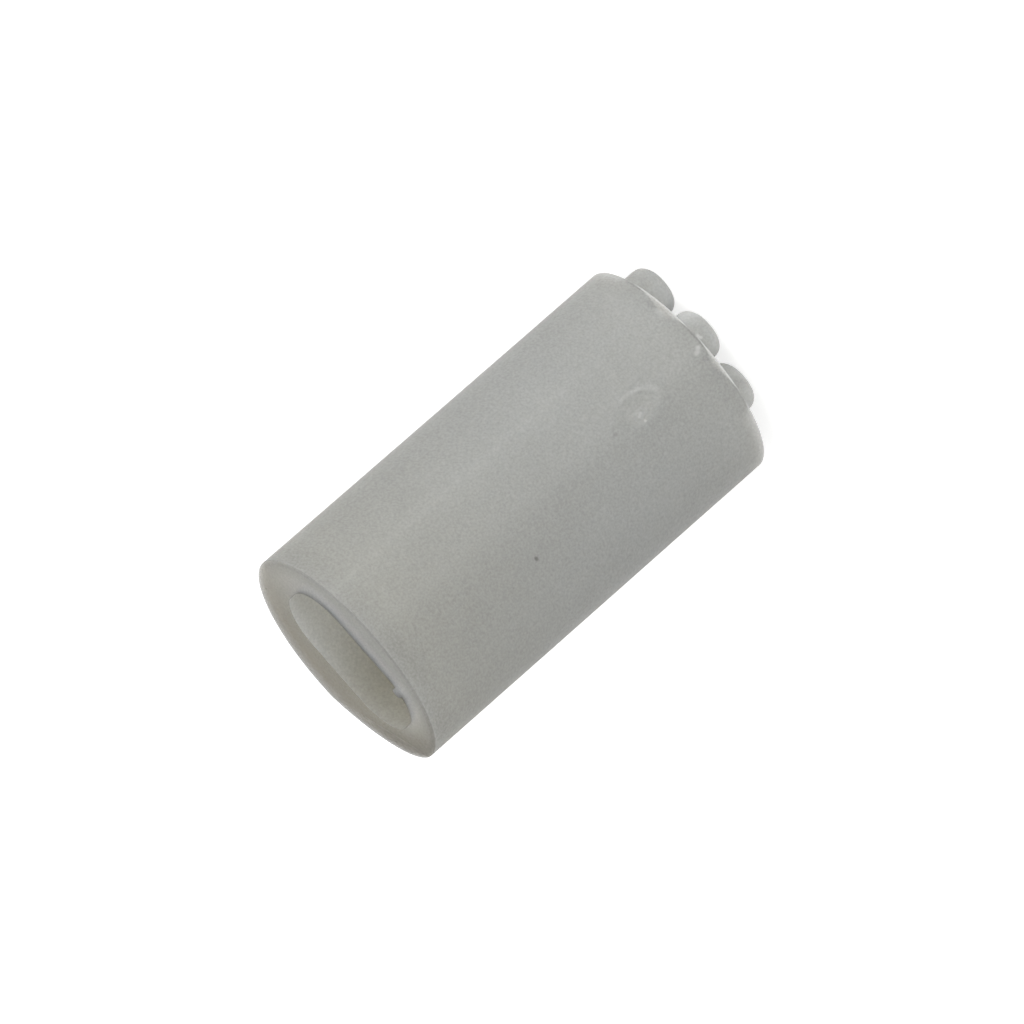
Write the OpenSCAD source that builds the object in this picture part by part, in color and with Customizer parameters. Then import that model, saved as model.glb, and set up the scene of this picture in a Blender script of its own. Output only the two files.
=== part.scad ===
// LED spacer sleeve. One nylon moulding that holds a 5 mm LED off its board. The
// LED seats on the open top face and its two leads run down a slot bore, where one
// low rib keeps them from turning. The board end stands on two groups of round-tipped
// feet, so that solder and cleaning fluid can pass. The slot's long way is X, its rib
// is at the front, and the origin is on the axis, level with the tallest foot's tip.

/* [Tube] */
// Height of the LED seat above the tallest foot's tip
seat_height = 9.5; // [6:0.5:25]
// Outside diameter at the open LED end
tube_d = 5; // [4.9:0.05:7]
// Mould draft on the outside, in degrees from the axis
draft = 0.15; // [0:0.05:0.3]
// Radius of the round on the outer edge of both ends
edge_r = 0.03; // [0.02:0.01:0.15]

/* [Trimmed flat] */
// Direction in which the seat's trimmed flat faces, in degrees from +X
trim_turn = 138; // [0:1:360]
// Width of the trimmed flat at its widest
trim_w = 0.6; // [0.3:0.02:0.7]
// Depth of the trimmed flat at the rim
trim_depth = 0.06; // [0.04:0.01:0.12]

/* [Slot bore] */
// Width of the bore along the row of leads
slot_w = 3.38; // [3.1:0.02:3.6]
// Depth of the bore across the row of leads
slot_t = 2.36; // [2.24:0.02:2.6]
// Radius of the bore's four corners
slot_corner_r = 1; // [0.8:0.05:1.1]
// Offset of the bore from the tube's axis along the row of leads
slot_off_x = -0.07; // [-0.12:0.01:0.12]
// Offset of the bore from the tube's axis across the row of leads
slot_off_y = -0.1; // [-0.12:0.01:0.12]
// Distance from the middle of the bore to the rib
rib_x = 1.07; // [0.9:0.01:1.15]
// Height of the rib from the bore's flat wall
rib_h = 0.34; // [0.2:0.01:0.45]
// Thickness of the rib
rib_t = 0.22; // [0.16:0.01:0.3]

/* [Feet] */
// Diameter of each foot
foot_d = 1.1; // [0.9:0.02:1.2]
// Height of a foot that would stand on the middle line
foot_h = 0.42; // [0.35:0.01:0.6]
// Slope of the feet's tips along the slot's long way, in degrees
foot_slope = 4.5; // [0:0.5:5]
// Radius of the round on each foot's tip
foot_tip_r = 0.26; // [0.1:0.02:0.3]
// Distance from one foot to the next along the slot's long way
foot_pitch = 1.21; // [1.1:0.01:1.25]
// Distance from the middle line to each group's middle foot
foot_shift = 0.26; // [0:0.01:0.3]
// Step from the round of the tube's edge in to the feet
foot_inset = 0.02; // [0.01:0.01:0.1]

/* [Gate mark] */
// Length of the gate recess along the tube
gate_len = 1.2; // [0.9:0.05:1.6]
// Width of the gate recess
gate_w = 0.66; // [0.5:0.02:0.8]
// Depth of the gate recess at its middle
gate_depth = 0.08; // [0.05:0.01:0.15]
// Distance from the tube's board end to the middle of the recess
gate_up = 1.95; // [1.2:0.05:3]
// Diameter of the broken stub in the recess
stub_d = 0.28; // [0.2:0.02:0.4]
// Height of the stub from the floor of the recess
stub_h = 0.05; // [0.02:0.01:0.08]

/* [Hidden] */
$fn = 96;
SIDES = [-1, 1];
FEET = [-1, 0, 1];
overlap = 0.2;

// The front group is at side 1 and the back group is its half turn
function foot_x(side, i) = side * (foot_shift + i * foot_pitch);
function foot_y(side, i) = -side * sqrt(foot_ring_r ^ 2 - foot_x(side, i) ^ 2);
function foot_rise(side, i) = foot_h + foot_x(side, i) * tan(foot_slope);

top_r = tube_d / 2;
foot_r = foot_d / 2;
tallest_foot = max([for (side = SIDES, i = FEET) foot_rise(side, i)]);
tube_len = seat_height - tallest_foot;
board_r = top_r - tube_len * tan(draft);
foot_ring_r = board_r - edge_r - foot_inset - foot_r;
gate_z = tallest_foot + gate_up;
gate_floor_r = board_r + gate_up * tan(draft) - gate_depth;

// Outer form of the tube from its axis out, with both edges rounded
module tube_profile() {
    polygon([
        [0, 0], [board_r - edge_r, 0], [board_r, edge_r],
        [top_r, tube_len - edge_r], [top_r - edge_r, tube_len], [0, tube_len]
    ]);
    translate([board_r - edge_r, edge_r]) circle(edge_r);
    translate([top_r - edge_r, tube_len - edge_r]) circle(edge_r);
}

module tube() {
    translate([0, 0, tallest_foot]) rotate_extrude() tube_profile();
}

// One foot points down from the tube, with its shank let into the wall
module foot(height) {
    tip_x = foot_r - foot_tip_r;
    tip_y = height - foot_tip_r;
    rotate([180, 0, 0]) rotate_extrude() {
        translate([0, -overlap]) square([foot_r, overlap + tip_y]);
        square([tip_x, height]);
        intersection() {
            translate([tip_x, tip_y]) circle(foot_tip_r);
            square([foot_r, height]);
        }
    }
}

module feet() {
    for (side = SIDES, i = FEET)
        translate([foot_x(side, i), foot_y(side, i), tallest_foot]) foot(foot_rise(side, i));
}

// The slot in plan about its own middle
module slot_section() {
    corner_x = slot_w / 2 - slot_corner_r;
    corner_y = slot_t / 2 - slot_corner_r;
    difference() {
        union() {
            square([slot_w, 2 * corner_y], center = true);
            square([2 * corner_x, slot_t], center = true);
            for (x = SIDES, y = SIDES)
                translate([x * corner_x, y * corner_y]) circle(slot_corner_r);
        }
        rotate(180) translate([rib_x, 0]) rib_section();
    }
}

// The rib has a round crest and its root is let into the wall
module rib_section() {
    crest_y = slot_t / 2 - rib_h + rib_t / 2;
    translate([0, crest_y]) circle(rib_t / 2);
    translate([-rib_t / 2, crest_y]) square([rib_t, rib_h]);
}

module slot_bore() {
    translate([slot_off_x, slot_off_y, -overlap])
        linear_extrude(seat_height + 2 * overlap) slot_section();
}

// The seat's rim is dressed off on a shallow slope that faces outwards
module trim_cut() {
    rotate(trim_turn) translate([top_r - trim_w, -top_r, seat_height])
        rotate([0, atan(trim_depth / trim_w), 0]) cube([tube_d, tube_d, overlap]);
}

// The gate is at the front, in the middle of the slot's long way
module gate_recess() {
    half_run = (gate_len - gate_w) / 2;
    translate([0, -gate_floor_r, gate_z]) rotate([90, 0, 0]) linear_extrude(gate_depth + overlap) {
        square([gate_w, 2 * half_run], center = true);
        for (side = SIDES) translate([0, side * half_run]) circle(gate_w / 2);
    }
}

module gate_stub() {
    translate([0, overlap - gate_floor_r, gate_z])
        rotate([90, 0, 0]) cylinder(h = overlap + stub_h, d = stub_d);
}

module sleeve() {
    color("#adadaa") {
        difference() {
            union() {
                tube();
                feet();
            }
            slot_bore();
            trim_cut();
            gate_recess();
        }
        gate_stub();
    }
}

sleeve();
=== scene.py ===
"""Looks of the LED spacer sleeve: one moulding in milky, undyed nylon.

Lengths are worked out in millimetres and go into the meshes in metres. Angles run
round the axis from the front, -Y, towards +X.
"""

from functools import reduce
import math
from types import SimpleNamespace

import bmesh
import bpy
import numpy as np
from mathutils import Matrix, Vector


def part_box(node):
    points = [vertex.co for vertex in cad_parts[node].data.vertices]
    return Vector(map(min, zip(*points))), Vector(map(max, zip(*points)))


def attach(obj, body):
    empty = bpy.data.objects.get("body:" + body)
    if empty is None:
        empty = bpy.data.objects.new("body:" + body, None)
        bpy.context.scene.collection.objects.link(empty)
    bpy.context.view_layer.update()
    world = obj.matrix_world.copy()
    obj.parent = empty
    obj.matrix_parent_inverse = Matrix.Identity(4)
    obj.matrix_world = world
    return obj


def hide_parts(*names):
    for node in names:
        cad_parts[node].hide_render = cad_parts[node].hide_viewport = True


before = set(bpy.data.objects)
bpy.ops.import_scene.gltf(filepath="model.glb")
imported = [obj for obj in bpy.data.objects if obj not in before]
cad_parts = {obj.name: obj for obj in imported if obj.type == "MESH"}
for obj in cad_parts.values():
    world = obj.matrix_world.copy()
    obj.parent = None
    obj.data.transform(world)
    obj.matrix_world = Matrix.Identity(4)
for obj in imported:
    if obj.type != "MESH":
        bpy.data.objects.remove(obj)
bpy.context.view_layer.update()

MM = 0.001
LOW, HIGH = (np.array(corner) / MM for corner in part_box("sleeve"))

# ---- sizes that the mesh shares with the solid ----
SEAT_Z = HIGH[2]
SEAT_R = (HIGH[0] - LOW[0]) / 2
DRAFT = math.tan(math.radians(0.15))
SLOT_W, SLOT_T, SLOT_R = 3.38, 2.36, 1.0
SLOT_MIDDLE = (-0.07, -0.1)
RIB_X, RIB_H, RIB_T = 1.07, 0.34, 0.22
FOOT_R, FOOT_H, FOOT_SLOPE, FOOT_TIP_R = 0.55, 0.42, math.tan(math.radians(4.5)), 0.26
FOOT_PITCH, FOOT_SHIFT = 1.21, 0.26
TRIM_TURN, TRIM_W, TRIM_DEPTH = math.radians(138), 0.6, 0.06
GATE_LEN, GATE_W, GATE_UP = 1.2, 0.66, 1.95

FOOT_XS = [side * (FOOT_SHIFT + i * FOOT_PITCH) for side in (1, -1) for i in (-1, 0, 1)]
BOARD_Z = FOOT_H + max(FOOT_XS) * FOOT_SLOPE
BOARD_R = SEAT_R - (SEAT_Z - BOARD_Z) * DRAFT
GATE_Z = BOARD_Z + GATE_UP

# ---- sizes that only the mesh has ----
RIM_ROUND = 0.015       # on the seat's rim; the board end's edge is sharp
MOUTH_ROUND = 0.012
CORNER_BLUR = 0.016     # reach of the easing of the slot's corners in plan
FOOT_STEP = 0.02        # from the wall in to the feet, less than on the solid
SEAM_FRONT, SEAM_BACK = math.radians(1.8), math.radians(186.3)
SEAM_RISE, SEAM_REACH, SEAM_DIP = 0.01, 0.35, 1.1
SEAM_BACK_SHARE = 0.7
# angle of the painted highlight streak up the wall
STREAK_ANGLE = math.radians(28.3)
GATE_ASIDE = -0.05
GATE_DEPTH, GATE_SHALLOWER, GATE_LIP = 0.045, 0.02, 0.005
STUB_PLACE, STUB_REACH, STUB_RISE = (-0.12, -0.06), (0.1, 0.2), 0.035
SWELL = 0.003


def smooth(low, high, value):
    """0 below low, 1 above high, with a soft step in between."""
    t = np.clip((value - low) / (high - low), 0, 1)
    return t * t * (3 - 2 * t)


def waves(points, scale, seed, count=9):
    """Smooth noise of about -1 to 1 from a few seeded plane waves."""
    rng = np.random.default_rng(seed)
    total = np.zeros(points.shape[:-1])
    for _ in range(count):
        way = rng.normal(size=3)
        way *= scale * rng.uniform(0.6, 1.6) / np.linalg.norm(way)
        total += np.sin(points @ way + rng.uniform(0, 2 * math.pi))
    return total / math.sqrt(count)


def new_object(name, mesh):
    obj = bpy.data.objects.new(name, mesh)
    bpy.context.scene.collection.objects.link(obj)
    return obj


# ---- the slot in plan ----
def arc(centre, radius, start, end, step=0.004):
    turns = np.linspace(start, end, max(3, int(abs(end - start) * radius / step)))
    return np.stack([centre[0] + radius * np.cos(turns), centre[1] + radius * np.sin(turns)], 1)


def line(start, end, step=0.004):
    start, end = np.array(start, float), np.array(end, float)
    count = max(2, int(np.linalg.norm(end - start) / step))
    return start + (end - start) * np.linspace(0, 1, count)[:, None]


def slot_path():
    """The slot from the middle of its front wall, anticlockwise; its rib is near the end."""
    x, y = SLOT_W / 2 - SLOT_R, SLOT_T / 2 - SLOT_R
    near, far = RIB_X - RIB_T / 2, RIB_X + RIB_T / 2
    crest_y = RIB_H - RIB_T / 2 - SLOT_T / 2
    turn_far, turn_near = (2 * math.pi - math.acos((x - r) / SLOT_R) for r in (far, near))
    before = arc((-x, -y), SLOT_R, math.pi, turn_far)
    after = arc((-x, -y), SLOT_R, turn_near, 1.5 * math.pi)
    return np.vstack([
        line((0, -SLOT_T / 2), (x, -SLOT_T / 2)),
        arc((x, -y), SLOT_R, -math.pi / 2, 0),
        arc((x, y), SLOT_R, 0, math.pi / 2),
        arc((-x, y), SLOT_R, math.pi / 2, math.pi),
        before,
        line(before[-1], (-far, crest_y)),
        arc((-RIB_X, crest_y), RIB_T / 2, math.pi, 0),
        line((-near, crest_y), after[0]),
        after,
        line(after[-1], (0, -SLOT_T / 2)),
    ]) + SLOT_MIDDLE


def even(points, count):
    """count points at even steps along a path."""
    steps = np.r_[0, np.cumsum(np.linalg.norm(np.diff(points, axis=0), axis=1))]
    at = np.linspace(0, steps[-1], count)
    return np.stack([np.interp(at, steps, points[:, k]) for k in range(points.shape[1])], 1)


def slot_outline(count):
    """The whole outline at even steps, with its corners eased, and the normals out of it."""
    path = even(slot_path(), 6001)[:-1]
    step = np.linalg.norm(path[1] - path[0])
    reach = int(4 * CORNER_BLUR / step)
    weights = np.exp(-0.5 * (np.arange(-reach, reach + 1) * step / CORNER_BLUR) ** 2)
    weights /= weights.sum()
    eased = sum(w * np.roll(path, k - reach, axis=0) for k, w in enumerate(weights))
    along = np.roll(eased, -1, axis=0) - np.roll(eased, 1, axis=0)
    normal = np.stack([along[:, 1], -along[:, 0]], 1)
    normal /= np.linalg.norm(normal, axis=1)[:, None]
    picks = np.arange(count) * len(eased) // count
    return eased[picks], normal[picks]


# ---- the outer wall ----
def spread(low, high, count, density):
    """count values from low to high, closer together where density is greater."""
    at = np.linspace(low, high, 6001)
    weight = density(at)
    total = np.r_[0, np.cumsum((weight[1:] + weight[:-1]) / 2)]
    return np.interp(np.linspace(0, total[-1], count), total, at)


def turn_from(angle, seam):
    """Signed angle from a seam, within half a turn either way."""
    return (angle - seam + math.pi) % (2 * math.pi) - math.pi


def wall_angles():
    """Angles of the wall's columns, one of them on the front seam's crest."""
    def density(turn):
        front = 1 - smooth(0.24, 0.5, np.abs(turn_from(turn, 0)))
        back = 1 - smooth(0.03, 0.14, np.abs(turn_from(turn, SEAM_BACK - SEAM_FRONT)))
        return 1 + 4 * front + 2 * back
    return SEAM_FRONT + spread(0, 2 * math.pi, 385, density)[:-1]


def wall_heights():
    """Heights of the wall's rows, close together at the gate."""
    def density(z):
        return 1 + 3 * (1 - smooth(0.7, 1.1, np.abs(z - GATE_Z)))
    return spread(BOARD_Z + RIM_ROUND, SEAT_Z - RIM_ROUND, 132, density)


def seam_rise(angle):
    """Relief of a parting line: a crest level with the wall, in a wide and shallow dip."""
    rise = 0
    for seam, height in ((SEAM_FRONT, SEAM_RISE), (SEAM_BACK, SEAM_BACK_SHARE * SEAM_RISE)):
        off = np.abs(turn_from(angle, seam)) * SEAT_R
        rise = rise + height * (np.exp(-off / SEAM_REACH) - np.exp(-(off / SEAM_DIP) ** 2))
    return rise


def gate_rise(angle, z):
    """Relief of the gate's mark: a pit, shallower at the top, with a low lip and a stub."""
    across = turn_from(angle, 0) * SEAT_R - GATE_ASIDE
    up = z - GATE_Z
    ring = np.sqrt((across / (GATE_W / 2)) ** 2 + (up / (GATE_LEN / 2)) ** 2)
    deep = GATE_DEPTH - GATE_SHALLOWER * smooth(-0.2, 0.4, up)
    pit = -deep * (1 - smooth(0.6, 1.0, ring))
    lip = GATE_LIP * np.exp(-((ring - 1.06) / 0.13) ** 2)
    off = np.sqrt(
        ((across - STUB_PLACE[0]) / STUB_REACH[0]) ** 2 + ((up - STUB_PLACE[1]) / STUB_REACH[1]) ** 2
    )
    ragged = 1 + 0.4 * np.sin(31 * across + 4) * np.sin(27 * up + 1)
    return pit + lip + STUB_RISE * (1 - smooth(0.4, 1.2, off)) * ragged


def wall_swell(points):
    """Slow waviness of the moulded wall, mostly inwards."""
    return SWELL * (waves(points * (1, 1, 0.5), 1.3, seed=3) - 1)


def quarter_round(count):
    """(along, drop) of a unit quarter circle, from level to straight down."""
    turns = np.linspace(0, math.pi / 2, count)
    return np.stack([np.sin(turns), 1 - np.cos(turns)], 1)


def prism_object(name, rings):
    """Closed solid through rings that go up, each anticlockwise from above."""
    count, around = rings.shape[:2]
    index = np.arange(count * around).reshape(count, around)
    beside = np.roll(index, -1, axis=1)
    sides = np.stack([index[:-1], beside[:-1], beside[1:], index[1:]], -1).reshape(-1, 4)
    faces = [index[0][::-1].tolist(), *sides.tolist(), index[-1].tolist()]
    mesh = bpy.data.meshes.new(name)
    mesh.from_pydata(rings.reshape(-1, 3).tolist(), [], faces)
    return new_object(name, mesh)


def ring_at(xy, z):
    return np.column_stack([xy, np.full(len(xy), z)])


def make_tube():
    angles = wall_angles()
    circle = np.column_stack([np.sin(angles), -np.cos(angles)])
    turn = quarter_round(5)
    rings = [ring_at(circle * BOARD_R, BOARD_Z)]
    for z in wall_heights():
        radius = SEAT_R - (SEAT_Z - z) * DRAFT + gate_rise(angles, z)
        rings.append(ring_at(circle * radius[:, None], z))
    rings += [
        ring_at(circle * (SEAT_R - RIM_ROUND * (1 - a)), SEAT_Z - RIM_ROUND * d)
        for a, d in turn[-2::-1]
    ]
    rings = np.array(rings)
    rise = seam_rise(angles) + wall_swell(rings)
    rings[..., :2] += circle * rise[..., None]
    return prism_object("sleeve_moulding", rings)


def make_bore_plug():
    """Solid of the bore with a small flare at both mouths."""
    slot, away = slot_outline(276)
    turn = quarter_round(5) * MOUTH_ROUND
    flare = [(MOUTH_ROUND + 0.05, -0.03), *((a, d) for a, d in turn)]
    rings = [ring_at(slot + away * a, BOARD_Z + d) for a, d in flare]
    rings += [ring_at(slot, z) for z in np.linspace(BOARD_Z, SEAT_Z, 44)[2:-2]]
    rings += [ring_at(slot + away * a, SEAT_Z - d) for a, d in flare[::-1]]
    return prism_object("bore_plug", np.array(rings))


def make_trim_wedge():
    """Block above the sloping plane that trims the seat's rim."""
    slope = math.atan2(TRIM_DEPTH, TRIM_W)
    side = SEAT_R * 2
    corners = [(0, -side), (side, -side), (side, side), (0, side)]
    block = prism_object("trim_wedge", np.array([ring_at(np.array(corners), z) for z in (0, 1)]))
    place = Matrix.Rotation(TRIM_TURN, 4, "Z")
    place @= Matrix.Translation((SEAT_R - TRIM_W, 0, SEAT_Z)) @ Matrix.Rotation(slope, 4, "Y")
    block.data.transform(place)
    return block


# ---- feet ----
def lathe(name, profile, around, centre):
    """Solid of revolution about a vertical line; the profile starts and ends on it."""
    verts, faces = [(0, 0, profile[0][1])], []
    turns = np.linspace(0, 2 * math.pi, around, endpoint=False)
    for r, z in profile[1:-1]:
        verts += [(r * math.cos(t), r * math.sin(t), z) for t in turns]
    verts.append((0, 0, profile[-1][1]))
    rows = len(profile) - 2
    for j in range(around):
        k = (j + 1) % around
        faces.append((0, 1 + k, 1 + j))
        for i in range(rows - 1):
            a, b = 1 + i * around, 1 + (i + 1) * around
            faces.append((a + j, a + k, b + k, b + j))
        last = 1 + (rows - 1) * around
        faces.append((last + j, last + k, len(verts) - 1))
    mesh = bpy.data.meshes.new(name)
    place = np.array(verts) + (centre[0], centre[1], 0)
    mesh.from_pydata(place.tolist(), [], faces)
    mesh.update()
    return new_object(name, mesh)


def foot_profile(height):
    """From the tip on the axis, round the edge and up into the wall."""
    tip = BOARD_Z - height
    inner = FOOT_R - FOOT_TIP_R
    turns = np.linspace(0, math.pi / 2, 9)
    round_edge = [
        (inner + FOOT_TIP_R * math.sin(t), tip + FOOT_TIP_R * (1 - math.cos(t))) for t in turns
    ]
    root = BOARD_Z + 0.12
    return [(0, tip), (inner * 0.5, tip), *round_edge, (FOOT_R, root), (0, root)]


def boolean(target, tool, operation):
    step = target.modifiers.new(operation, "BOOLEAN")
    step.operation, step.object, step.solver = operation, tool, "MANIFOLD"
    with bpy.context.temp_override(object=target, active_object=target):
        bpy.ops.object.modifier_apply(modifier=step.name)
    bpy.data.objects.remove(tool)


def foot_plug():
    """A straight solid of the slot, a hair larger, that clips the feet to the bore."""
    slot, away = slot_outline(240)
    return prism_object("foot_plug", np.array([
        ring_at(slot + away * 0.004, z) for z in (LOW[2] - 1, BOARD_Z + 1)
    ]))


def add_feet(tube):
    ring_r = BOARD_R - FOOT_STEP - FOOT_R
    for side, x in zip((1, 1, 1, -1, -1, -1), FOOT_XS):
        y = -side * math.sqrt(ring_r ** 2 - x ** 2)
        foot = lathe("foot", foot_profile(FOOT_H + x * FOOT_SLOPE), 64, (x, y))
        boolean(foot, foot_plug(), "DIFFERENCE")
        boolean(tube, foot, "UNION")


def mark_creases(mesh):
    """The trimmed flat meets the seat at too small an angle to be found as a crease."""
    work = bmesh.new()
    work.from_mesh(mesh)
    for edge in work.edges:
        level = [abs(face.normal.z) > 0.9999 for face in edge.link_faces]
        if len(set(level)) == 2 and edge.calc_face_angle() > math.radians(4):
            edge.smooth = False
    work.to_mesh(mesh)
    work.free()


def make_sleeve():
    tube = make_tube()
    boolean(tube, make_bore_plug(), "DIFFERENCE")
    add_feet(tube)
    boolean(tube, make_trim_wedge(), "DIFFERENCE")
    tube.data.materials.clear()
    tube.data.transform(Matrix.Scale(MM, 4))
    tube.data.shade_smooth()
    tube.data.set_sharp_from_angle(angle=math.radians(34))
    mark_creases(tube.data)
    return tube


# ---- material ----
class Nodes:
    """Short calls for building the node tree of a material or a world."""

    def __init__(self, owner):
        owner.use_nodes = True
        self.tree = owner.node_tree
        self.tree.nodes.clear()

    def add(self, kind, inputs=(), **settings):
        node = self.tree.nodes.new(kind)
        for key, value in settings.items():
            setattr(node, key, value)
        for key, value in dict(inputs).items():
            if isinstance(value, bpy.types.NodeSocket):
                self.tree.links.new(value, node.inputs[key])
            else:
                node.inputs[key].default_value = value
        return node

    def math(self, operation, a, b=0.0):
        return self.add("ShaderNodeMath", {0: a, 1: b}, operation=operation).outputs[0]

    def vector(self, operation, a, b):
        return self.add("ShaderNodeVectorMath", {0: a, 1: b}, operation=operation).outputs[0]

    def scaled(self, vector, factor):
        inputs = {0: vector, 3: factor}
        return self.add("ShaderNodeVectorMath", inputs, operation="SCALE").outputs[0]

    def length(self, vector):
        inputs = {0: vector}
        return self.add("ShaderNodeVectorMath", inputs, operation="LENGTH").outputs["Value"]

    def joined(self, *parts):
        return self.add("ShaderNodeCombineXYZ", dict(enumerate(parts))).outputs[0]

    def plus(self, *values):
        return reduce(lambda a, b: self.math("ADD", a, b), values)

    def times(self, *values):
        return reduce(lambda a, b: self.math("MULTIPLY", a, b), values)

    def apart(self, a, b):
        """Size of the difference of two values."""
        return self.math("ABSOLUTE", self.math("SUBTRACT", a, b))

    def ramp(self, value, low, high, out_low=0.0, out_high=1.0):
        inputs = {"Value": value, "From Min": low, "From Max": high,
                  "To Min": out_low, "To Max": out_high}
        node = self.add("ShaderNodeMapRange", inputs, interpolation_type="SMOOTHSTEP")
        return node.outputs["Result"]

    def noise(self, place, scale, detail=2.0):
        inputs = {"Vector": place, "Scale": scale, "Detail": detail}
        return self.add("ShaderNodeTexNoise", inputs).outputs["Fac"]

    def spot(self, place, centre, radii):
        """1 at the centre of a small ellipsoid, fading out at its surface."""
        off = self.vector("DIVIDE", self.vector("SUBTRACT", place, centre), radii)
        return self.ramp(self.length(off), 0.25, 1.0, 1.0, 0.0)

    def mix(self, factor, a, b):
        return self.add("ShaderNodeMix", {0: factor, 6: a, 7: b}, data_type="RGBA").outputs[2]


def srgb(red, green, blue):
    """Linear colour from 0 to 255 screen values."""
    parts = [c / 255 for c in (red, green, blue)]
    return (*[c / 12.92 if c <= 0.04045 else ((c + 0.055) / 1.055) ** 2.4 for c in parts], 1)


NYLON = srgb(170, 171, 169)
# painted shade: a darker, warmer copy of the nylon for the wall's seat end
NYLON_SHADED = srgb(160, 159, 151)
# colour of the painted glints
GLINT_WHITE = srgb(205, 205, 203)
# lit and shaded copies of the nylon for painted light and shade in the bore and on the seat
BORE_LIT = srgb(190, 191, 187)
BORE_SHADED = srgb(165, 164, 156)
SEAT_LIT = srgb(175, 175, 171)
SEAT_SHADED = srgb(148, 145, 135)
# dark of the dirt specks and of the painted shadow specks
DIRT_AND_SHADE = srgb(70, 68, 62)

# Light and dark painted into the colour, as shares of it. They even out how light that
# scatters in the nylon brightens thin edges and dims the bore. They aren't pigment.
SIDE_DIM, SEAT_END_DIM, BOARD_END_DIM = -0.08, -0.15, -0.13
FOOT_FLANKS = (0.22, 0.12, 0.5)             # painted light towards -X on each front foot
FOOT_GAPS = ((1.1, -0.38), (-0.4, -0.2))    # x and share of painted shade at each gap between them
BORE_TOP, BORE_BELOW, BORE_DEEP, MOUTH_LIFT = 0.95, 1.1, 1.28, 1.2
SEAT_GLOW, SEAT_BACK_DIM, SEAT_FLAT_DIM = 0.85, (-0.1, -0.34), -0.12
SEAT_RIM_DIM, SEAT_END_X_DIM = -0.14, -0.14
GRAIN, MOTTLE = 0.52, 0.012
LIGHTEST = (0.97, 0.97, 0.97)

# centre, radii and strength of each dark speck, of dirt and of painted shadow, and of each painted
# glint
DIRT_AND_SHADOW_SPECKS = (
    # dirt specks on the wall and the seat
    ((-0.96, -2.28, 5.93), (0.07, 0.2, 0.06), 0.5),
    ((2.08, 0.96, SEAT_Z), (0.035, 0.08, 0.1), 0.5),
    # painted shadow at the top edge of the gate's pit
    ((-0.15, -2.47, GATE_Z + 0.63), (0.055, 0.2, 0.075), 0.24),
    ((-0.04, -2.5, GATE_Z + 0.59), (0.06, 0.2, 0.07), 0.12),
)
# painted glints at the gate, on and beside the feet
PAINTED_GLINTS = (
    ((-0.155, -2.47, GATE_Z - 0.04), (0.05, 0.2, 0.06), 0.45),
    ((-0.195, -2.47, GATE_Z + 0.01), (0.05, 0.2, 0.06), 0.45),
    ((-0.333, -2.47, GATE_Z - 0.03), (0.05, 0.2, 0.045), 0.7),
    ((0.22, -2.43, 0.5), (0.09, 0.2, 0.05), 0.7),
    ((0.17, -2.43, 0.47), (0.05, 0.2, 0.05), 0.6),
    ((0.06, -2.5, 0.67), (0.07, 0.2, 0.08), 0.6),
    ((0.0, -2.5, 0.75), (0.08, 0.2, 0.11), 0.55),
    ((1.07, -2.26, 0.71), (0.2, 0.3, 0.1), 0.25),
)


def surface_place(n):
    """Where a point lies, in millimetres, and which surface it is on."""
    where = n.add("ShaderNodeTexCoord").outputs["Object"]
    place = n.scaled(where, 1 / MM)
    x, y, z = n.add("ShaderNodeSeparateXYZ", {0: place}).outputs
    radius = n.length(n.joined(x, y, 0.0))
    within = n.ramp(radius, 2.3, 2.44, 1.0, 0.0)
    facing = n.add("ShaderNodeNewGeometry").outputs["Normal"]
    upward = n.add("ShaderNodeSeparateXYZ", {0: facing}).outputs["Z"]
    return SimpleNamespace(
        place=place, x=x, y=y, z=z, radius=radius,
        angle=n.math("ARCTAN2", x, n.times(y, -1.0)),
        broken=n.ramp(n.noise(place, 3.1), 0.3, 0.62, 0.55, 1.0),
        on_wall=n.ramp(radius, 2.3, 2.42),
        on_seat=n.times(n.ramp(upward, 0.4, 0.9), n.ramp(z, SEAT_Z - 0.12, SEAT_Z - 0.09)),
        on_feet=n.ramp(z, BOARD_Z - 0.04, BOARD_Z + 0.01, 1.0, 0.0),
        in_bore=n.times(within, n.ramp(z, 0.8, 1.6)),
    )


def wall_shade(n, at):
    """Painted light and shade on the wall: a lighter painted highlight streak and seam crest, and
    painted shade beside the seam, at its sides and at its ends.
    """
    # a painted highlight: a pale streak with a soft halo up the wall
    off_streak = n.apart(at.angle, STREAK_ANGLE)
    painted_streak = n.plus(n.ramp(off_streak, 0.0, 0.055, 0.035, 0.0), n.ramp(off_streak, 0.0, 0.22, 0.04, 0.0))
    painted_streak = n.times(painted_streak, at.broken, n.ramp(at.z, 1.8, 3.4))
    # painted highlight on the seam's crest, and painted shade on its -X side
    off_seam = n.math("SUBTRACT", at.angle, SEAM_FRONT)
    crest = n.times(n.ramp(n.apart(off_seam, 0.0), 0.004, 0.03, 0.012, 0.0), at.broken)
    dim = n.times(n.ramp(off_seam, -0.22, 0.02, -0.055, 0.0), n.ramp(off_seam, -0.95, -0.25))
    # painted shade at the sides and at both ends
    sides = n.ramp(n.apart(at.angle, 0.0), 0.6, 1.25, 0.0, SIDE_DIM)
    ends = n.plus(
        n.ramp(at.z, SEAT_Z - 0.75, SEAT_Z, 0.0, SEAT_END_DIM),
        n.ramp(at.z, BOARD_Z, BOARD_Z + 0.6, BOARD_END_DIM, 0.0),
    )
    return n.plus(painted_streak, crest, dim, sides, ends)


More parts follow.
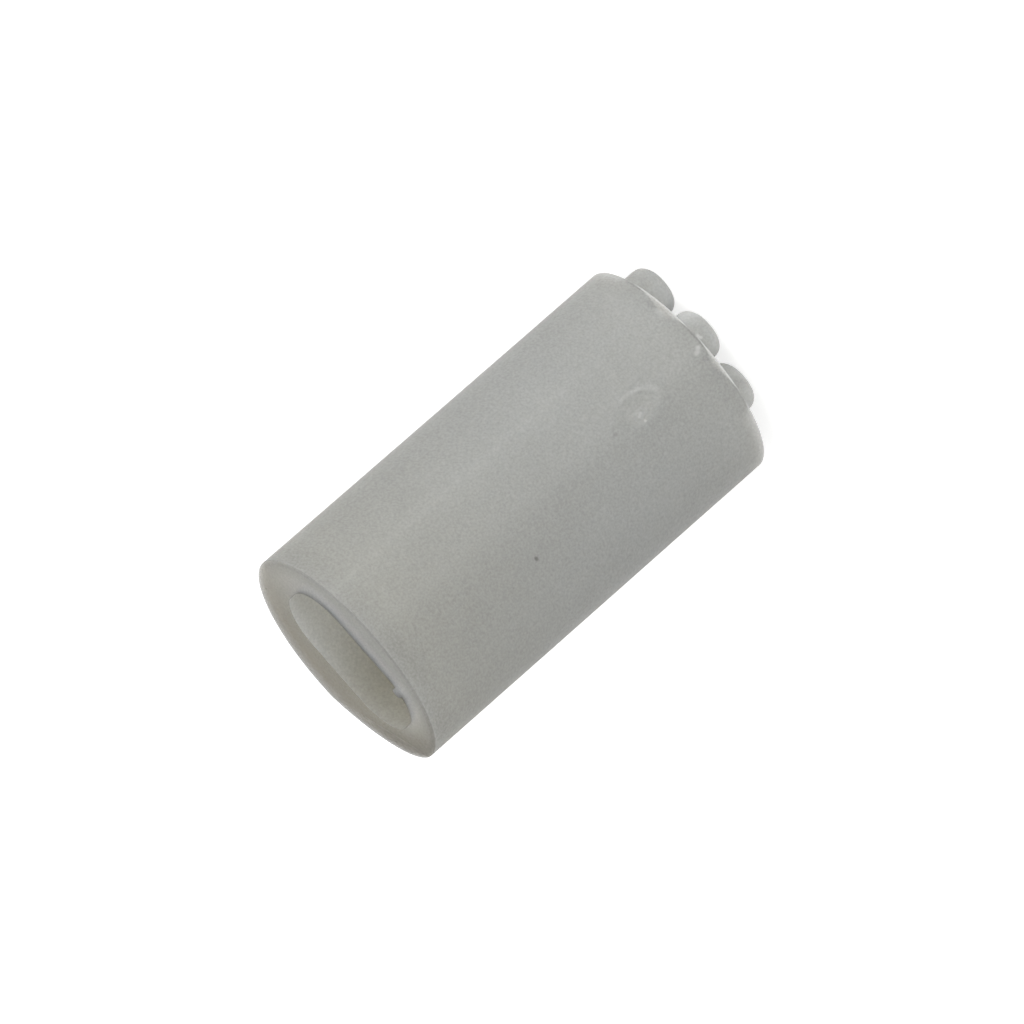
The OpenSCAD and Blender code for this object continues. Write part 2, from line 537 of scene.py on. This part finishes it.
def gate_shade(n, at):
    """The gate's scar, painted paler than the wall's dim side, with a painted highlight on its pale,
    broken lip and painted shade just inside it.
    """
    across = n.plus(n.times(at.angle, SEAT_R), -GATE_ASIDE)
    up = n.math("SUBTRACT", at.z, GATE_Z)
    ring = n.length(n.joined(n.times(across, 2 / GATE_W), n.times(up, 2 / GATE_LEN), 0.0))
    low_part = n.ramp(up, 0.05, 0.35, 1.0, 0.0)
    # painted light in the scar, stronger towards -X; a painted highlight on the lip and painted
    # shade inside it, stronger towards +X
    scar = n.times(n.ramp(ring, 0.85, 1.05, 1.0, 0.0), n.ramp(across, -0.1, 0.2, 0.095, 0.02))
    lip = n.times(n.ramp(n.apart(ring, 1.02), 0.0, 0.2, 0.15, 0.0), at.broken)
    inner = n.ramp(n.apart(ring, 0.8), 0.0, 0.15, -0.06, 0.0)
    edge = n.times(n.plus(lip, inner), n.ramp(across, -0.12, 0.1, 0.25, 1.0))
    return n.times(n.plus(scar, edge), low_part)


def feet_shade(n, at):
    """Painted shade and light at the feet: thin dark lines of painted shade in the step above two
    feet, in front; the feet painted dimmer towards -X and lighter on their flanks.
    """
    # painted shade in the step above feet 1 and 2, and faintly along the rest of the edge in front
    line = n.ramp(n.apart(at.z, BOARD_Z + 0.035), 0.006, 0.03, 1.0, 0.0)
    first = n.ramp(n.apart(at.x, 1.66), 0.2, 0.34, 0.12, 0.0)
    second = n.ramp(n.apart(at.x, 0.33), 0.28, 0.42, 0.12, 0.0)
    in_front = n.ramp(at.y, 0.0, -0.5, 0.0, -1.0)
    line = n.times(line, n.plus(first, second, 0.04), in_front, at.on_wall)
    # painted light on each front foot's -X flank; painted shade on the feet towards -X
    flanks = n.plus(*(
        n.ramp(n.apart(at.x, foot_x - FOOT_R), 0.1, FOOT_R, more, 0.0)
        for foot_x, more in zip(FOOT_XS[:3], FOOT_FLANKS)
    ))
    feet = n.plus(n.ramp(at.x, -0.8, 0.0, -0.04, 0.0), flanks)
    # painted shade on the wall's edge between the feet, where light that comes up between them
    # shines through it
    gaps = n.plus(*(
        n.ramp(n.apart(at.x, gap), 0.1, 0.42, share, 0.0) for gap, share in FOOT_GAPS
    ))
    edge = n.times(
        gaps, n.ramp(at.z, BOARD_Z, BOARD_Z + 0.28, 1.0, 0.0),
        n.ramp(at.z, BOARD_Z - 0.02, BOARD_Z), n.ramp(at.y, -0.5, 0.0, 1.0, 0.0), at.on_wall,
    )
    return n.plus(line, edge, n.times(at.on_feet, feet))


def off_slot(n, at):
    """Distance from the slot's edge on the seat, in millimetres."""
    beside = [
        n.math("MAXIMUM", n.math("SUBTRACT", n.apart(value, middle), size / 2 - SLOT_R), 0.0)
        for value, middle, size in ((at.x, SLOT_MIDDLE[0], SLOT_W), (at.y, SLOT_MIDDLE[1], SLOT_T))
    ]
    return n.math("SUBTRACT", n.length(n.joined(*beside, 0.0)), SLOT_R)


def nylon_tint(n, at):
    """Wall, bore and seat, with painted light and shade: yellower and darker towards -X and the
    back.
    """
    # painted shade: the wall darker and warmer towards the seat end
    seat_end_shade = n.ramp(at.z, 3.0, 10.0, 0.0, 0.45)
    wall = n.mix(seat_end_shade, NYLON, NYLON_SHADED)
    # painted light and shade in the bore: lighter towards +X, with depth and just under the seat in
    # front
    bore = n.mix(n.ramp(at.x, -1.0, 1.4, 1.0, 0.0), BORE_LIT, BORE_SHADED)
    bore = n.scaled(bore, n.ramp(at.z, SEAT_Z - 0.8, SEAT_Z - 0.05, BORE_BELOW, BORE_TOP))
    bore = n.scaled(bore, n.ramp(at.z, SEAT_Z - 7.0, SEAT_Z - 1.5, BORE_DEEP, 1.0))
    mouth = n.times(
        n.ramp(at.z, SEAT_Z - 0.06, SEAT_Z - 0.01, 0.0, MOUTH_LIFT),
        n.ramp(at.y, 0.0, 0.5, 1.0, 0.0),
    )
    bore = n.scaled(bore, n.plus(1.0, mouth))
    # painted shade: the seat darker and warmer towards the back and -X
    depth = n.math("SUBTRACT", at.y, n.times(at.x, 0.35))
    seat = n.mix(n.ramp(depth, -2.8, 1.9), SEAT_LIT, SEAT_SHADED)
    # painted light and shade: the seat is lighter beside the slot in front, and duller at its back,
    # rim and -X end
    beside = n.times(
        n.ramp(at.y, -0.8, 1.0, 1.0, 0.0),
        n.ramp(n.apart(at.x, -0.1), 1.2, 2.0, 1.0, 0.3),
    )
    glow = n.times(n.ramp(off_slot(n, at), 0.0, 0.7, SEAT_GLOW, 0.0), beside)
    outer = n.plus(
        n.ramp(at.y, 0.2, 1.8, *SEAT_BACK_DIM),
        n.times(n.ramp(at.x, -1.9, -0.9, SEAT_FLAT_DIM, 0.0), n.ramp(at.y, -0.6, 0.6)),
    )
    rim = n.plus(
        n.times(n.ramp(at.radius, 1.5, 2.4), outer),
        n.ramp(at.radius, 2.05, 2.35, 0.0, SEAT_RIM_DIM),
    )
    end = n.times(n.ramp(at.x, -2.2, -1.0, SEAT_END_X_DIM, 0.0), n.ramp(at.y, -1.4, 0.4))
    seat = n.scaled(seat, n.plus(1.0, glow, rim, end))
    return n.mix(at.on_seat, n.mix(at.in_bore, wall, bore), seat)


def nylon():
    material = bpy.data.materials.new("natural_nylon")
    n = Nodes(material)
    at = surface_place(n)
    fine = n.noise(n.vector("MULTIPLY", at.place, (1.0, 0.4, 1.0)), 22.0, 5.0)
    shade = n.plus(
        1.0,
        n.times(n.plus(wall_shade(n, at), gate_shade(n, at)), at.on_wall),
        feet_shade(n, at),
        n.ramp(n.noise(at.place, 0.55, 3.0), 0.3, 0.7, -MOTTLE, MOTTLE),
        n.times(n.math("SUBTRACT", fine, 0.5), GRAIN),
    )
    colour = n.scaled(nylon_tint(n, at), shade)
    colour = n.vector("MINIMUM", colour, LIGHTEST)
    # painted glints
    for centre, radii, strength in PAINTED_GLINTS:
        colour = n.mix(n.times(n.spot(at.place, centre, radii), strength), colour, GLINT_WHITE)
    # dark specks: dirt, and painted shadow at the gate's pit
    for centre, radii, strength in DIRT_AND_SHADOW_SPECKS:
        colour = n.mix(n.times(n.spot(at.place, centre, radii), strength), colour, DIRT_AND_SHADE)

    height = n.plus(n.times(fine, 0.5), n.noise(at.place, 5.5))
    bump = n.add("ShaderNodeBump", {"Strength": 0.6, "Distance": 0.006 * MM, "Height": height})
    shader = n.add("ShaderNodeBsdfPrincipled", {
        "Base Color": colour, "Normal": bump.outputs["Normal"],
        "Roughness": n.ramp(n.noise(at.place, 9.0, 3.0), 0.3, 0.7, 0.4, 0.52),
        "IOR": 1.53, "Specular IOR Level": 0.04,
        "Subsurface Weight": 1.0, "Subsurface Radius": (1.0, 0.95, 0.86),
        "Subsurface Scale": 4.2 * MM,
    })
    n.add("ShaderNodeOutputMaterial", {"Surface": shader.outputs[0]})
    return material


# ---- floor, lights and camera ----
ROOM_SIDE, ROOM_DIM, ROOM_BRIGHT = (0.28, -0.8, 0.25), 0.14, 1.12
FLOOR_GLOW, FLOOR_SEEN = 0.26, 0.75
FLOOR_HALF = 3.0            # metres
AIM = Vector((0.04, 0, 4.98)) * MM
CAMERA_AWAY = 400 * MM
CAMERA_RISE, CAMERA_ROLL = math.radians(16.94), math.radians(-131.23)
LENS_TO_DISTANCE = 1.797


def seen_directly(n):
    """1 for rays that show the backdrop: from the camera, in gloss and through glass."""
    path = n.add("ShaderNodeLightPath").outputs
    either = n.math("MAXIMUM", path["Is Camera Ray"], path["Is Glossy Ray"])
    return n.math("MAXIMUM", either, path["Is Transmission Ray"])


def make_floor():
    half = FLOOR_HALF
    mesh = bpy.data.meshes.new("floor")
    corners = [(-half, -half, 0), (half, -half, 0), (half, half, 0), (-half, half, 0)]
    mesh.from_pydata(corners, [], [(0, 1, 2, 3)])
    floor = new_object("floor", mesh)
    material = bpy.data.materials.new("floor_white")
    n = Nodes(material)
    paint = n.add("ShaderNodeBsdfDiffuse", {"Color": srgb(242, 242, 240)})
    level = n.ramp(seen_directly(n), 0.0, 1.0, FLOOR_GLOW, FLOOR_SEEN)
    glow = n.add("ShaderNodeEmission", {"Strength": level})
    both = n.add("ShaderNodeAddShader", {0: paint.outputs[0], 1: glow.outputs[0]})
    n.add("ShaderNodeOutputMaterial", {"Surface": both.outputs[0]})
    floor.data.materials.append(material)


def make_world():
    """A pale room, brighter on the side that the soft box stands on."""
    world = bpy.data.worlds.new("studio")
    n = Nodes(world)
    way = n.add("ShaderNodeTexCoord").outputs["Generated"]
    inputs = {0: way, 1: Vector(ROOM_SIDE).normalized()}
    toward = n.add("ShaderNodeVectorMath", inputs, operation="DOT_PRODUCT").outputs["Value"]
    room = n.ramp(toward, -0.3, 0.9, ROOM_DIM, ROOM_BRIGHT)
    level = n.math("MAXIMUM", seen_directly(n), room)
    glow = n.add("ShaderNodeBackground", {"Color": (1, 1, 1, 1), "Strength": level})
    n.add("ShaderNodeOutputWorld", {"Surface": glow.outputs[0]})
    bpy.context.scene.world = world


def soft_box(name, azimuth, elevation, distance, size, radiance):
    """Square lamp of even radiance that faces the sleeve; sizes in millimetres."""
    lamp = bpy.data.lights.new(name, "AREA")
    lamp.shape, lamp.size = "SQUARE", size * MM
    lamp.energy = radiance * math.pi * (size * MM) ** 2
    obj = new_object(name, lamp)
    a, e = math.radians(azimuth), math.radians(elevation)
    way = Vector((math.sin(a) * math.cos(e), -math.cos(a) * math.cos(e), math.sin(e)))
    obj.location = AIM + way * distance * MM
    obj.rotation_euler = (-way).to_track_quat("-Z", "Y").to_euler()
    obj.visible_camera = False


def make_camera():
    """A long lens that looks down on the seat, rolled as the sleeve lies in the view."""
    camera = bpy.data.cameras.new("camera")
    camera.sensor_width = 36
    camera.lens = LENS_TO_DISTANCE * CAMERA_AWAY / MM
    camera.clip_start, camera.clip_end = 0.01, 20
    obj = new_object("camera", camera)
    back = Vector((0, -math.cos(CAMERA_RISE), math.sin(CAMERA_RISE)))
    right = Vector((1, 0, 0))
    up = back.cross(right)
    turned_right = right * math.cos(CAMERA_ROLL) + up * math.sin(CAMERA_ROLL)
    turned_up = up * math.cos(CAMERA_ROLL) - right * math.sin(CAMERA_ROLL)
    obj.matrix_world = Matrix.Translation(AIM + back * CAMERA_AWAY) @ Matrix(
        (turned_right, turned_up, back)
    ).transposed().to_4x4()
    bpy.context.scene.camera = obj


make_camera()
sleeve = make_sleeve()
sleeve.data.materials.append(nylon())
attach(sleeve, "root")
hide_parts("sleeve")
make_floor()
make_world()
soft_box("key", 30, 14, 260, 240, 0.62)
bpy.context.scene.view_settings.view_transform = "Standard"
